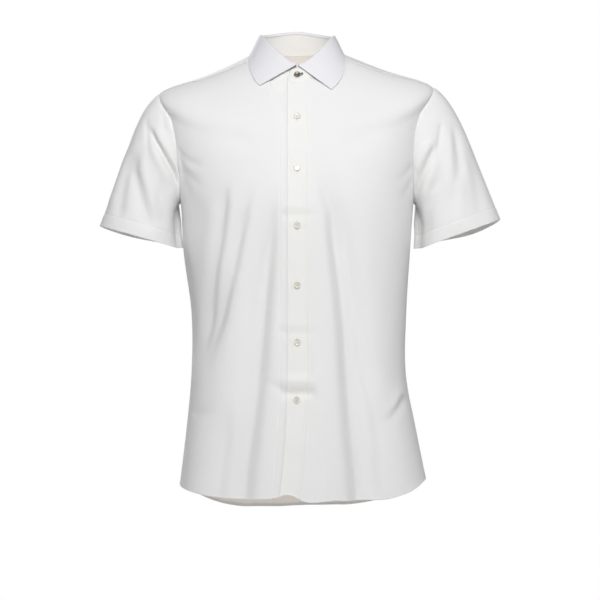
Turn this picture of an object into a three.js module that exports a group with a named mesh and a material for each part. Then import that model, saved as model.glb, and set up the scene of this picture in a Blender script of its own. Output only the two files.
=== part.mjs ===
// A man's short-sleeved dress shirt, buttoned up and holding the shape in which it is worn.
// Every cut piece is a wall of cloth of its own: two fronts, placket, back, yoke, two sleeves, collar stand and
// collar leaf, with seven buttons. Neck, hem and sleeve ends are open.
//
// Millimetres, +Z up. The wearer faces -Y, so the wearer's right side is at -X.
// The origin is in the middle of the neck opening, level with the tops of the shoulders.
import * as THREE from "three";

// Cloth and seams
const CLOTH = 1.2; // wall of the body and sleeves
const INTERFACED = 1.6; // wall of the stiffened pieces: placket, collar stand and collar leaf
const SEAM_GAP = 0.3; // between two pieces at a seam
const EDGE_INSET = 0.2; // how far each open edge is drawn back from its seam line

// Front closing
const PLACKET_WIDTH = 32;
const BUTTON_STAND = 15; // how far the under front runs past the centre, below the placket
const UNDERLAP = CLOTH + 1.5 * SEAM_GAP; // how far the under front lies below the placket
const NECK_SAG = 0.6; // how far the under front hangs below the neck seam at the centre, in rings

// Buttons, of polyester resin
const BUTTON_RADIUS = 5.5;
const BUTTON_THICKNESS = 2.4;
const BUTTON_RIM = 1.3;
const BUTTON_DISH = 0.6;
const BUTTON_SIDES = 16;
const COLLAR_BUTTON_RADIUS = 5;
const FIRST_BUTTON_Z = -115;
const BUTTON_SPACING = [86, 94, 98, 94, 95];

// Rings of the torso, seen as closed curves around the body, from the hem up to the neck seam.
// zRight and zLeft are a ring's height at the wearer's two sides, and right and left its half widths there.
// front and back are its depths. dipFront and dipBack are how far it hangs lower at the centre than at the sides.
// square is the power of its superellipse and scoop the power of its dip. shift moves its centre front sideways,
// and lift raises it there.
const COLUMNS = [
  "zRight", "zLeft", "right", "left", "front", "back", "dipFront", "dipBack", "square", "scoop", "shift", "lift",
];
const ring = (...values) => Object.fromEntries(COLUMNS.map((column, i) => [column, values[i]]));
const RINGS = [
  ring(-731, -721, 199, 218, 127, 114, 18, 52, 2.3, 4, -13, 7), // hem
  ring(-640, -637, 188, 201, 125, 110, 12, 34, 2.3, 3.6, -4, 0), // hip
  ring(-540, -540, 179, 183.5, 121, 100, 7, 18, 2.3, 3.2, 0, 0), // high hip
  ring(-440, -440, 179, 184.5, 121, 93, 3, 8, 2.3, 3, 0, 0), // waist
  ring(-340, -340, 192, 190.5, 126, 98, 1, 2, 2.3, 3, 0, 0), // ribs
  ring(-252, -252, 198, 197, 129, 106, 4, 0, 2.35, 3, 0, 0), // underarm
  ring(-160, -156, 216, 209, 121, 109, 34, 2, 2.35, 3.4, 0, 0), // chest
  ring(-106, -98, 226, 219, 113, 104, 52, 2, 2.3, 3.6, 0, 0), // the yoke's back seam
  ring(-67, -57, 232, 229, 106, 93, 60, 4, 2.25, 3.4, 0, 0), // shoulder tip
  ring(-34, -28, 147, 147, 94, 74, 60, -4, 2.15, 2.4, 0, 0), // mid shoulder
  ring(5, 5, 64, 64, 79, 51, 62, 2, 2, 1.9, 0, 0), // neck seam
];
const UNDERARM = 5;
const YOKE_SEAM = 7;
const SHOULDER_TIP = 8;
const NECK = 10;
const SCOOP_EASE = 0.12; // rounds the bottom of each dip
const LIFT_WIDTH = 22;

// Collar
const STAND_TOP = ring(28, 26, 60.5, 60.5, 71, 47, 58, -12, 2, 1.5, 0, 0); // the stand's upper edge
const STAND_FOOT = 1.2; // the stand starts this far above the neck seam
const STAND_OVERLAP = 16; // past the centre front, at both ends
const STAND_UNDERLAP = 4.3; // how far the right end lies inside the left one
const STAND_CORNER = 9; // radius of the rounded upper corners
const STAND_END_SLOPE = 0.25; // fall of the upper edge past the centre front
const ROLL_RISE = 2.6; // from the stand's upper edge to the middle of the collar's roll
const ROLL_RADIUS = 1.9;
const LEAF_END = 2.4; // degrees from the centre front where the leaf starts
const LEAF_BULGE = 2.2;
const LEAF_CLEARANCE = 3.4; // the leaf's outer edge above the cloth it lies on

// The leaf's outer edge: the ring on which it lies at each angle from the centre front, for the wearer's right and
// left. The first row is the point of each side.
const LEAF_EDGE = [
  { angle: [32, 28.5], ring: [9.34, 9.27] },
  { angle: [48, 46], ring: [9.48, 9.44] },
  { angle: [66, 66], ring: [9.66, 9.69] },
  { angle: [90, 90], ring: [9.76, 9.8] },
  { angle: [135, 135], ring: [9.77, 9.77] },
  { angle: [180, 180], ring: [9.76, 9.76] },
];

// Armholes: an oval on the torso, centred on the side between the underarm and the shoulder tip.
const ARMHOLE_FRONT = 24; // half width to the front, in degrees round the torso
const ARMHOLE_BACK = 27;
const FRONT_YOKE_ANGLE = 20; // where the yoke's front seam meets the armhole, in degrees from its top
const YOKE_AT_NECK = 64; // where the yoke's front seam meets the neck seam, in degrees from the centre front

// Sleeves. tip and under are the hem's outermost and innermost points. leave and arrive are the directions, with
// their lengths, in which the cloth leaves the armhole and comes to the hem, at the top and under the arm.
// x counts outward from the centre of the body.
const SLEEVES = [
  {
    node: "sleeve_right", side: -1, tip: [335, -292], under: [204, -329], depth: 51,
    leaveTop: [38, -17], leaveUnder: [15, -13], arriveTop: [45, -117], arriveUnder: [-5, -26],
  },
  {
    node: "sleeve_left", side: 1, tip: [344.5, -281], under: [208.5, -330], depth: 52,
    leaveTop: [38, -11], leaveUnder: [15, -13], arriveTop: [50, -118], arriveUnder: [-3, -26],
  },
];
const SLEEVE_FORWARD = 7; // how far the sleeve's front and back swing out on leaving the armhole
const SLEEVE_START = 0.8; // gap to the armhole, and what is added to it under the arm, where the walls fold back
const SLEEVE_START_UNDER = 1.3;

// Largest folds, each along a curve of three points [x, z] as seen from the front or back.
// width is the half width of the fold and height its rise, or its depth where negative. open folds run off the hem.
const FRONT_FOLDS = [
  { from: [-41, -246], bend: [-38, -500], to: [-93, -738], width: 15, height: -11, open: true },
  { from: [-70, -270], bend: [-78, -480], to: [-124, -700], width: 20, height: 6, open: true },
  { from: [-78, -262], bend: [-110, -400], to: [-158, -560], width: 13, height: -7, open: false },
  { from: [-104, -250], bend: [-134, -380], to: [-170, -540], width: 13, height: 5, open: false },
  { from: [29, -232], bend: [58, -440], to: [122, -736], width: 15, height: -10, open: true },
  { from: [48, -240], bend: [88, -420], to: [138, -700], width: 17, height: 5, open: true },
  { from: [80, -310], bend: [108, -480], to: [160, -720], width: 15, height: -6, open: true },
];
const BACK_FOLDS = [
  { from: [-52, -330], bend: [-60, -540], to: [-96, -760], width: 20, height: -8, open: true },
  { from: [48, -300], bend: [70, -520], to: [88, -765], width: 22, height: -9, open: true },
  { from: [-6, -360], bend: [-4, -560], to: [-10, -780], width: 26, height: 6, open: true },
];

// Grid lines
const SIDE_SEAM_ROWS = 13;
const FRONT_ARMHOLE_ROWS = 12;
const BACK_ARMHOLE_ROWS = 9;
const YOKE_ARMHOLE_ROWS = 5;
const YOKE_TOP_ROWS = 2;
const YOKE_SEAM_ROWS = 5;
const FRONT_COLUMNS = 13;
const BACK_COLUMNS = 24;
const YOKE_COLUMNS = 20;
const PLACKET_COLUMNS = 4;
const SLEEVE_ROWS = 9;
const STAND_COLUMNS = 42;
const STAND_ROWS = 2;
const LEAF_COLUMNS = 30;
const LEAF_ARC_STEPS = 3;
const LEAF_FALL_STEPS = 4;

const shirtWhite = new THREE.MeshStandardMaterial({ color: 0xf2f2f1, roughness: 0.75, metalness: 0 });
const placketWhite = new THREE.MeshStandardMaterial({ color: 0xf4f3ef, roughness: 0.7, metalness: 0 });
const collarWhite = new THREE.MeshStandardMaterial({ color: 0xefeef2, roughness: 0.7, metalness: 0 });
const buttonWhite = new THREE.MeshStandardMaterial({ color: 0xe9e6da, roughness: 0.25, metalness: 0 });
const buttonDark = new THREE.MeshStandardMaterial({ color: 0x3c3835, roughness: 0.25, metalness: 0 });

// Small helpers

const lerp = (a, b, f) => a + (b - a) * f;
const radians = THREE.MathUtils.degToRad;

function smoothstep(low, high, value) {
  const f = THREE.MathUtils.clamp((value - low) / (high - low), 0, 1);
  return f * f * (3 - 2 * f);
}

// n + 1 evenly spaced values.
function steps(from, to, n) {
  return Array.from({ length: n + 1 }, (_, i) => lerp(from, to, i / n));
}

// A smooth curve through the rows of a table, for one named column; position counts rows.
function throughRows(rows, column, position) {
  const i = Math.min(Math.max(Math.floor(position), 0), rows.length - 2);
  const value = (k) => rows[Math.min(Math.max(k, 0), rows.length - 1)][column];
  const f = position - i;
  const [a, b, c, d] = [value(i - 1), value(i), value(i + 1), value(i + 2)];
  return b + 0.5 * f * (c - a + f * (2 * a - 5 * b + 4 * c - d + f * (3 * (b - c) + d - a)));
}

// The torso

function ringAt(position) {
  return Object.fromEntries(COLUMNS.map((column) => [column, throughRows(RINGS, column, position)]));
}

// A point on a ring. The angle is 0 at the centre front, 90 at the wearer's left and 180 at the centre back.
function ringPoint(ring, angle) {
  const sine = Math.sin(radians(angle));
  const cosine = Math.cos(radians(angle));
  const power = 2 / ring.square;
  const across = Math.sign(sine) * Math.abs(sine) ** power;
  const along = Math.abs(cosine) ** power;
  const half = sine < 0 ? ring.right : ring.left;
  const rise = (Math.hypot(across, SCOOP_EASE) ** ring.scoop - SCOOP_EASE ** ring.scoop) /
    (Math.hypot(1, SCOOP_EASE) ** ring.scoop - SCOOP_EASE ** ring.scoop);
  const dip = (cosine > 0 ? ring.dipFront : ring.dipBack) * (1 - rise);
  const lift = cosine > 0 ? ring.lift * Math.exp(-((half * across / LIFT_WIDTH) ** 2)) : 0;
  const level = (ring.zRight + ring.zLeft) / 2 + ((ring.zLeft - ring.zRight) / 2) * across;
  return new THREE.Vector3(
    half * across + (cosine > 0 ? ring.shift * (1 - Math.abs(across)) : 0),
    cosine > 0 ? -ring.front * along : ring.back * along,
    level - dip + lift,
  );
}

// The angle at which a ring is that far to the left of its centre front.
function angleAcross(ring, distance) {
  const half = distance < 0 ? ring.right : ring.left;
  const across = Math.abs(distance) / (half - Math.sign(distance) * ring.shift);
  return Math.sign(distance) * THREE.MathUtils.radToDeg(Math.asin(across ** (ring.square / 2)));
}

const torsoPoint = (angle, ring) => ringPoint(ringAt(ring), angle);

function torsoNormal(angle, ring) {
  const turn = 0.4;
  const rise = 0.02;
  const upper = Math.min(ring + rise, NECK);
  const lower = Math.max(ring - rise, 0);
  const around = torsoPoint(angle + turn, ring).sub(torsoPoint(angle - turn, ring));
  const up = torsoPoint(angle, upper).sub(torsoPoint(angle, lower));
  return around.cross(up).normalize();
}

// The point of an armhole's oval at that angle from its top; 90 is its front, 180 the underarm and 270 its back.
function armhole(side, angle) {
  const sine = Math.sin(radians(angle));
  const reach = sine > 0 ? ARMHOLE_FRONT : ARMHOLE_BACK;
  const middle = (SHOULDER_TIP + UNDERARM) / 2;
  return {
    angle: side * (90 - reach * sine),
    ring: middle + (SHOULDER_TIP - middle) * Math.cos(radians(angle)),
  };
}

// The angle on the armhole, at its back, where a ring meets it.
function armholeAngleAtRing(ring) {
  const middle = (SHOULDER_TIP + UNDERARM) / 2;
  return 360 - THREE.MathUtils.radToDeg(Math.acos((ring - middle) / (SHOULDER_TIP - middle)));
}

// Folds

// The rise of the cloth at a point seen from the front or back.
function foldRise(folds, x, z) {
  let rise = 0;
  for (const fold of folds) {
    let nearest = Infinity;
    let place = 0;
    for (const f of steps(0, 1, 16)) {
      const curve = (k) => (1 - f) ** 2 * fold.from[k] + 2 * f * (1 - f) * fold.bend[k] + f ** 2 * fold.to[k];
      const away = Math.hypot(x - curve(0), (z - curve(1)) * 0.35);
      if (away < nearest) [nearest, place] = [away, f];
    }
    const ending = fold.open ? 1 : 1 - smoothstep(0.6, 1, place);
    const width = fold.width * lerp(0.7, 1.25, place);
    rise += fold.height * Math.exp(-((nearest / width) ** 2)) * smoothstep(0, 0.35, place) * ending;
  }
  return rise;
}

// Folds die out at the side seams, the armholes, the placket and above the chest.
function torsoFold(angle, ring, point) {
  const front = Math.cos(radians(angle)) > 0;
  const oval = Math.hypot(
    (ring - (SHOULDER_TIP + UNDERARM) / 2) / ((SHOULDER_TIP - UNDERARM) / 2),
    (Math.abs(angle) - 90) / (front ? ARMHOLE_FRONT : ARMHOLE_BACK),
  );
  const calm =
    smoothstep(0, 0.3, Math.abs(Math.cos(radians(angle)))) *
    smoothstep(1, 1.4, oval) *
    (1 - smoothstep(6, YOKE_SEAM, ring)) *
    (front ? smoothstep(PLACKET_WIDTH / 2, PLACKET_WIDTH, Math.abs(point.x)) : 1);
  return calm * foldRise(front ? FRONT_FOLDS : BACK_FOLDS, point.x, point.z);
}

// The torso's cloth at an angle and a ring, moved out by its fold and by what is asked for.
function torsoCloth(angle, ring, moved = 0) {
  const point = torsoPoint(angle, ring);
  const normal = torsoNormal(angle, ring);
  return { point: point.clone().addScaledVector(normal, torsoFold(angle, ring, point) + moved), normal };
}

// Walls of cloth

// Normals of a grid of points, from its neighbours. Rows run along the first index.
function gridNormals(points, wrap) {
  const rows = points.length;
  const columns = points[0].length;
  return points.map((row, i) =>
    row.map((_, j) => {
      const next = wrap ? (j + 1) % columns : Math.min(j + 1, columns - 1);
      const last = wrap ? (j + columns - 1) % columns : Math.max(j - 1, 0);
      const along = row[next].clone().sub(row[last]);
      const up = points[Math.min(i + 1, rows - 1)][j].clone().sub(points[Math.max(i - 1, 0)][j]);
      return along.cross(up).normalize();
    }),
  );
}

// Draws one edge point back towards its neighbour inside the piece.
function drawBack(point, neighbour, distance) {
  return point.addScaledVector(neighbour.clone().sub(point).normalize(), distance);
}

// A closed wall around a grid of points. wrap joins its last column to its first, and insets are how far the first
// row, last row and the two side columns are drawn back.
function clothWall({ points, normals, thickness = CLOTH, wrap = false, firstInset = () => EDGE_INSET }) {
  const rows = points.length;
  const columns = points[0].length;
  const out = normals ?? gridNormals(points, wrap);
  const middle = points.map((row) => row.map((p) => p.clone()));
  for (let j = 0; j < columns; j++) {
    drawBack(middle[0][j], points[1][j], firstInset(j));
    drawBack(middle[rows - 1][j], points[rows - 2][j], EDGE_INSET);
  }
  if (!wrap) {
    for (let i = 0; i < rows; i++) {
      drawBack(middle[i][0], points[i][1], EDGE_INSET);
      drawBack(middle[i][columns - 1], points[i][columns - 2], EDGE_INSET);
    }
  }

  const positions = [];
  for (const side of [0.5, -0.5]) {
    middle.forEach((row, i) =>
      row.forEach((p, j) => positions.push(...p.clone().addScaledVector(out[i][j], side * thickness).toArray())),
    );
  }
  const outer = (i, j) => i * columns + (j % columns);
  const inner = (i, j) => rows * columns + outer(i, j);
  const faces = [];
  const quad = (a, b, c, d) => faces.push(a, b, c, a, c, d);
  const lastColumn = wrap ? columns : columns - 1;
  for (let i = 0; i < rows - 1; i++) {
    for (let j = 0; j < lastColumn; j++) {
      quad(outer(i, j), outer(i, j + 1), outer(i + 1, j + 1), outer(i + 1, j));
      quad(inner(i, j), inner(i + 1, j), inner(i + 1, j + 1), inner(i, j + 1));
    }
    if (!wrap) {
      quad(outer(i, 0), outer(i + 1, 0), inner(i + 1, 0), inner(i, 0));
      quad(outer(i, columns - 1), inner(i, columns - 1), inner(i + 1, columns - 1), outer(i + 1, columns - 1));
    }
  }
  for (let j = 0; j < lastColumn; j++) {
    quad(outer(0, j), inner(0, j), inner(0, j + 1), outer(0, j + 1));
    quad(outer(rows - 1, j), outer(rows - 1, j + 1), inner(rows - 1, j + 1), inner(rows - 1, j));
  }
  return new THREE.BufferGeometry()
    .setAttribute("position", new THREE.Float32BufferAttribute(positions, 3))
    .setIndex(faces);
}

const shirt = new THREE.Group();

function addPiece(name, geometry, material) {
  const mesh = new THREE.Mesh(geometry, material);
  mesh.name = name;
  shirt.add(mesh);
  return mesh;
}

// A wall on the torso, from a grid of places on it. moved gives how far each place is moved out.
function torsoWall(places, { moved = () => 0, thickness = CLOTH } = {}) {
  const cloth = places.map((row) => row.map((place) => torsoCloth(place.angle, place.ring, moved(place))));
  return clothWall({
    points: cloth.map((row) => row.map((c) => c.point)),
    normals: cloth.map((row) => row.map((c) => c.normal)),
    thickness,
  });
}

// Fronts: from the placket to the side seam, the armhole and the yoke's front seam

const BACK_YOKE_ANGLE = armholeAngleAtRing(YOKE_SEAM);

const sideSeam = (side) => steps(0, UNDERARM, SIDE_SEAM_ROWS).map((ring) => ({ angle: side * 90, ring }));

const frontArmhole = (side) =>
  steps(180, FRONT_YOKE_ANGLE, FRONT_ARMHOLE_ROWS).map((angle) => armhole(side, angle));

function frontYokeSeam(side) {
  const start = armhole(side, FRONT_YOKE_ANGLE);
  return steps(0, 1, YOKE_SEAM_ROWS).map((f) => ({
    angle: lerp(start.angle, side * YOKE_AT_NECK, f),
    ring: lerp(start.ring, NECK, f),
  }));
}

const frontOuterEdge = (side) => [
  ...sideSeam(side),
  ...frontArmhole(side).slice(1),
  ...frontYokeSeam(side).slice(1),
];

// The rings that the fronts' rows meet at the centre front.
const CENTRE_ROWS = [
  ...steps(0, UNDERARM, SIDE_SEAM_ROWS),
  ...steps(UNDERARM, SHOULDER_TIP, FRONT_ARMHOLE_ROWS).slice(1),
  ...steps(SHOULDER_TIP, NECK, YOKE_SEAM_ROWS).slice(1),
];

// How far the under front and the collar stand's under end sag at the neck, by distance across.
const neckSag = (distance) => NECK_SAG * smoothstep(-56, -16, distance);

// distances are those of the columns near the centre; the others are spread from the last of them to the edge.
function frontPlaces(side, distances) {
  const outer = frontOuterEdge(side);
  return CENTRE_ROWS.map((centreRing, i) => {
    const angles = distances.map((distance) => angleAcross(ringAt(centreRing), distance));
    const start = angles.pop();
    const band = angles.map((angle) => ({ angle, ring: centreRing }));
    const rest = steps(0, 1, FRONT_COLUMNS).map((f) => ({
      angle: lerp(start, outer[i].angle, f),
      ring: lerp(centreRing, outer[i].ring, f * f),
    }));
    const row = [...band, ...rest];
    return side > 0 ? row : row.reverse();
  });
}

// The under front lies below the placket, and its neck edge sags a little near the centre.
const underFrontPlaces = frontPlaces(-1, [BUTTON_STAND, 8, 0, -8, -PLACKET_WIDTH / 2]).map((row) =>
  row.map(({ angle, ring }) => {
    const sag = neckSag(torsoPoint(angle, ring).x) * smoothstep(SHOULDER_TIP, NECK, ring);
    return { angle, ring: ring - sag };
  }),
);

function underlap({ angle, ring }) {
  const { x } = torsoPoint(angle, ring);
  return -UNDERLAP * smoothstep(-PLACKET_WIDTH / 2 - 16, -PLACKET_WIDTH / 2 - 2, x - ringAt(ring).shift);
}

addPiece("front_right", torsoWall(underFrontPlaces, { moved: underlap }), shirtWhite);
addPiece("front_left", torsoWall(frontPlaces(1, [PLACKET_WIDTH / 2])), shirtWhite);

// Placket: the stiffened band down the edge of the left front

const placketPlaces = CENTRE_ROWS.map((ring) =>
  steps(-PLACKET_WIDTH / 2, PLACKET_WIDTH / 2, PLACKET_COLUMNS).map((distance) => ({
    angle: angleAcross(ringAt(ring), distance),
    ring,
  })),
);
const PLACKET_RISE = (INTERFACED - CLOTH) / 2;
addPiece("placket", torsoWall(placketPlaces, { moved: () => PLACKET_RISE, thickness: INTERFACED }), placketWhite);

// Back: from side seam to side seam, up to the yoke's back seam

const backOuterEdge = [
  ...sideSeam(1),
  ...steps(180, BACK_YOKE_ANGLE, BACK_ARMHOLE_ROWS).slice(1).map((angle) => armhole(1, angle)),
];
const backCentreRows = [
  ...steps(0, UNDERARM, SIDE_SEAM_ROWS),
  ...steps(UNDERARM, YOKE_SEAM, BACK_ARMHOLE_ROWS).slice(1),
];

// Places from the wearer's left edge round the back to the right edge. Rows are drawn to their ring at the centre.
function placesAcrossBack(edge, centreRings, columns, hold) {
  return edge.map(({ angle, ring }, i) =>
    steps(angle, 360 - angle, columns).map((a) => ({
      angle: a,
      ring: lerp(centreRings[i], ring, Math.abs((a - 180) / (angle - 180)) ** hold),
    })),
  );
}
addPiece("back", torsoWall(placesAcrossBack(backOuterEdge, backCentreRows, BACK_COLUMNS, 3)), shirtWhite);

// Yoke: over both shoulders, from its seam on the back to its seams on the fronts

const yokeEdge = [
  ...steps(BACK_YOKE_ANGLE, 360, YOKE_ARMHOLE_ROWS).map((angle) => armhole(1, angle)),
  ...steps(0, FRONT_YOKE_ANGLE, YOKE_TOP_ROWS).slice(1).map((angle) => armhole(1, angle)),
  ...frontYokeSeam(1).slice(1),
];
const yokeCentreRows = steps(YOKE_SEAM, NECK, yokeEdge.length - 1);
addPiece("yoke", torsoWall(placesAcrossBack(yokeEdge, yokeCentreRows, YOKE_COLUMNS, 2.2)), shirtWhite);

// Sleeves: a tube from the armhole to the sleeve's hem

const SLEEVE_ANGLES = [
  ...steps(0, FRONT_YOKE_ANGLE, YOKE_TOP_ROWS),
  ...steps(FRONT_YOKE_ANGLE, 180, FRONT_ARMHOLE_ROWS).slice(1),
  ...steps(180, BACK_YOKE_ANGLE, BACK_ARMHOLE_ROWS).slice(1),
  ...steps(BACK_YOKE_ANGLE, 360, YOKE_ARMHOLE_ROWS).slice(1, -1),
];

// A direction of the cloth at an angle round the sleeve, from those at the top and under the arm.
function aroundSleeve(sleeve, top, under, forward, angle) {
  const f = (1 + Math.cos(radians(angle))) / 2;
  return new THREE.Vector3(
    sleeve.side * lerp(under[0], top[0], f),
    -forward * Math.sin(radians(angle)),
    lerp(under[1], top[1], f),
  );
}

function sleeveHem(sleeve, angle) {
  const f = (1 + Math.cos(radians(angle))) / 2;
  return new THREE.Vector3(
    sleeve.side * lerp(sleeve.under[0], sleeve.tip[0], f),
    -sleeve.depth * Math.sin(radians(angle)),
    lerp(sleeve.under[1], sleeve.tip[1], f),
  );
}

function sleevePoint(sleeve, along, angle) {
  const place = armhole(sleeve.side, angle);
  const start = torsoPoint(place.angle, place.ring);
  const end = sleeveHem(sleeve, angle);
  const leaving = aroundSleeve(sleeve, sleeve.leaveTop, sleeve.leaveUnder, SLEEVE_FORWARD, angle);
  const arriving = aroundSleeve(sleeve, sleeve.arriveTop, sleeve.arriveUnder, SLEEVE_FORWARD, angle);
  return new THREE.CubicBezierCurve3(start, start.clone().add(leaving), end.clone().sub(arriving), end).getPoint(along);
}

for (const sleeve of SLEEVES) {
  // Facing the sleeve's end, the columns run so that the wall's first face looks outward.
  const angles = sleeve.side > 0 ? SLEEVE_ANGLES : [...SLEEVE_ANGLES].reverse();
  const points = steps(0, 1, SLEEVE_ROWS).map((along) => angles.map((angle) => sleevePoint(sleeve, along, angle)));
  const startGap = (j) => SLEEVE_START + SLEEVE_START_UNDER * ((1 - Math.cos(radians(angles[j]))) / 2) ** 3;
  addPiece(sleeve.node, clothWall({ points, wrap: true, firstInset: startGap }), shirtWhite);
}

// The level direction straight out from the neck.
const outwardAt = (angle) => new THREE.Vector3(Math.sin(radians(angle)), -Math.cos(radians(angle)), 0);

// Collar stand: a band round the neck, whose left end laps over its right end at the front

const neckRing = ringAt(NECK);
const standStart = angleAcross(neckRing, STAND_OVERLAP);
const standEnd = -360 + angleAcross(neckRing, -STAND_OVERLAP);
const standAngles = steps(standStart, standEnd, STAND_COLUMNS);

// How far a place on the stand is moved in, so that its right end lies inside its left end.
const standLayer = (angle) => -STAND_UNDERLAP * smoothstep(-55, -20, angle);

function standPoint(angle, height) {
  const sag = angle > -90 ? neckSag(torsoPoint(angle, NECK).x) : 0;
  const foot = torsoPoint(angle, NECK - sag);
  foot.z += STAND_FOOT;
  const top = ringPoint(STAND_TOP, angle);
  const pastCentre = Math.max(angle, -360 - angle, 0) * radians(1) * STAND_TOP.front;
  if (pastCentre > 0) top.z = ringPoint(STAND_TOP, 0).z - STAND_END_SLOPE * pastCentre;
  const fromEnd = Math.min(standStart - angle, angle - standEnd) * radians(1) * neckRing.front;
  const corner = Math.max(0, 1 - fromEnd / STAND_CORNER);
  top.z -= STAND_CORNER * (1 - Math.sqrt(1 - corner * corner));
  const point = foot.lerp(top, height);
  return point.addScaledVector(outwardAt(angle), standLayer(angle));
}
const standGrid = steps(0, 1, STAND_ROWS).map((height) =>
  [...standAngles].reverse().map((angle) => standPoint(angle, height)),
);
addPiece("collar_stand", clothWall({ points: standGrid, thickness: INTERFACED }), collarWhite);

// Collar leaf: rises from the stand, rolls over and falls to its outer edge on the yoke and fronts

// The ring on which the leaf's outer edge lies at an angle from the centre front.
function leafEdgeRing(angle, hand) {
  const next = Math.max(LEAF_EDGE.findIndex((row) => row.angle[hand] >= angle - 1e-9), 1);
  const [a, b] = [LEAF_EDGE[next - 1], LEAF_EDGE[next]];
  return lerp(a.ring[hand], b.ring[hand], smoothstep(a.angle[hand], b.angle[hand], angle));
}

function leafColumn(angle) {
  const fromFront = 180 - Math.abs(angle - 180);
  const side = angle < 180 ? 1 : -1;
  const hand = angle < 180 ? 1 : 0;
  const outward = outwardAt(angle);
  const up = new THREE.Vector3(0, 0, 1);
  const seam = standPoint(angle - 360, 1);
  const rollRadius = ROLL_RADIUS - standLayer(angle - 360) / 2;
  const rollCentre = seam.clone().addScaledVector(up, ROLL_RISE).addScaledVector(outward, rollRadius);
  const column = [seam.addScaledVector(up, 2 * EDGE_INSET)];
  for (const turn of steps(0, 150, LEAF_ARC_STEPS)) {
    column.push(
      rollCentre
        .clone()
        .addScaledVector(outward, -rollRadius * Math.cos(radians(turn)))
        .addScaledVector(up, rollRadius * Math.sin(radians(turn))),
    );
  }
  const first = LEAF_EDGE[0].angle[hand];
  const edgeAngle = lerp(first, 180, (fromFront - LEAF_END) / (180 - LEAF_END));
  const edgeRing = leafEdgeRing(edgeAngle, hand);
  const edge = torsoPoint(side * edgeAngle, edgeRing).addScaledVector(
    torsoNormal(side * edgeAngle, edgeRing),
    LEAF_CLEARANCE,
  );
  const fall = column[column.length - 1];
  for (const f of steps(0, 1, LEAF_FALL_STEPS).slice(1)) {
    column.push(fall.clone().lerp(edge, f).addScaledVector(outward, LEAF_BULGE * Math.sin(Math.PI * f)));
  }
  return column;
}
const leafColumns = steps(LEAF_END, 360 - LEAF_END, LEAF_COLUMNS).map(leafColumn);
const leafGrid = leafColumns[0].map((_, i) => leafColumns.map((column) => column[i]).reverse());
addPiece("collar_leaf", clothWall({ points: leafGrid, thickness: INTERFACED }), collarWhite);

// Buttons: dished discs with a raised rim, six down the placket and one on the collar stand

function buttonGeometry(radius) {
  const profile = [
    [0, 0],
    [radius - 0.6, 0],
    [radius, BUTTON_THICKNESS / 2],
    [radius - 0.5, BUTTON_THICKNESS],
    [radius - BUTTON_RIM, BUTTON_THICKNESS],
    [radius - BUTTON_RIM - 0.6, BUTTON_THICKNESS - BUTTON_DISH],
    [0, BUTTON_THICKNESS - BUTTON_DISH],
  ].map(([x, y]) => new THREE.Vector2(x, y));
  return new THREE.LatheGeometry(profile, BUTTON_SIDES);
}

// A button whose underside is a seam gap above a point, facing along the normal.
function addButton(name, radius, point, normal, material) {
  const button = addPiece(name, buttonGeometry(radius), material);
  button.position.copy(point).addScaledVector(normal, SEAM_GAP);
  button.quaternion.setFromUnitVectors(new THREE.Vector3(0, 1, 0), normal);
}

// The ring whose centre front is at that height.
function centreRingAt(z) {
  let [low, high] = [0, NECK];
  while (high - low > 1e-4) {
    const middle = (low + high) / 2;
    if (torsoPoint(0, middle).z < z) low = middle;
    else high = middle;
  }
  return low;
}

let buttonZ = FIRST_BUTTON_Z;
[0, ...BUTTON_SPACING].forEach((spacing, i) => {
  buttonZ -= spacing;
  const ring = centreRingAt(buttonZ);
  const { point, normal } = torsoCloth(0, ring, PLACKET_RISE + INTERFACED / 2);
  addButton(`button_${i + 1}`, BUTTON_RADIUS, point, normal, buttonWhite);
});

const standMiddle = standPoint(-360, 0.5);
const standUp = standPoint(-360, 0.6).sub(standPoint(-360, 0.4));
const standNormal = new THREE.Vector3(1, 0, 0).cross(standUp).normalize();
standMiddle.addScaledVector(standNormal, INTERFACED / 2);
addButton("button_collar", COLLAR_BUTTON_RADIUS, standMiddle, standNormal, buttonDark);

export default shirt;
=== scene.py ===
import math

import bmesh
import bpy
import numpy as np
from mathutils import Matrix, Vector


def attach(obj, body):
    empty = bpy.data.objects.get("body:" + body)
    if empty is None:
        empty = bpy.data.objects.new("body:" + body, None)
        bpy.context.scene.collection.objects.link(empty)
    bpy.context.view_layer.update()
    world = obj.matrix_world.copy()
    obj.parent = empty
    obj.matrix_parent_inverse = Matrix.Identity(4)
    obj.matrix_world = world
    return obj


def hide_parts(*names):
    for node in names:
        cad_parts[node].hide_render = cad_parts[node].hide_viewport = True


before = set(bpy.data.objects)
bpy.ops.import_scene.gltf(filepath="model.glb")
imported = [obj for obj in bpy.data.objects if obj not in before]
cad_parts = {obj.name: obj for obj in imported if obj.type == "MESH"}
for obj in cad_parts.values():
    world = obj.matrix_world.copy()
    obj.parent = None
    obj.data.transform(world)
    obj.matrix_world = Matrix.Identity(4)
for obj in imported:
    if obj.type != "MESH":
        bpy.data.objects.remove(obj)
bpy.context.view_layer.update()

# Camera and room: a plain studio. The camera stands level with the shirt's waist and looks straight at its
# front. One large soft light is in front and one behind, with weak ones at the sides, over a round pale floor.

CAMERA_PLACE = (0.0046, -3.5, -0.418)
FLOOR_RADIUS, FLOOR_LEVEL = 2.4, -1.45

scene = bpy.context.scene
scene.view_settings.view_transform = "Standard"
scene.view_settings.look = "None"

eye = bpy.data.cameras.new("eye")
eye.lens = 123.5
eye.sensor_width = 36
camera = bpy.data.objects.new("eye", eye)
camera.location = CAMERA_PLACE
camera.rotation_euler = (math.pi / 2, 0, 0)
scene.collection.objects.link(camera)
scene.camera = camera

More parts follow.
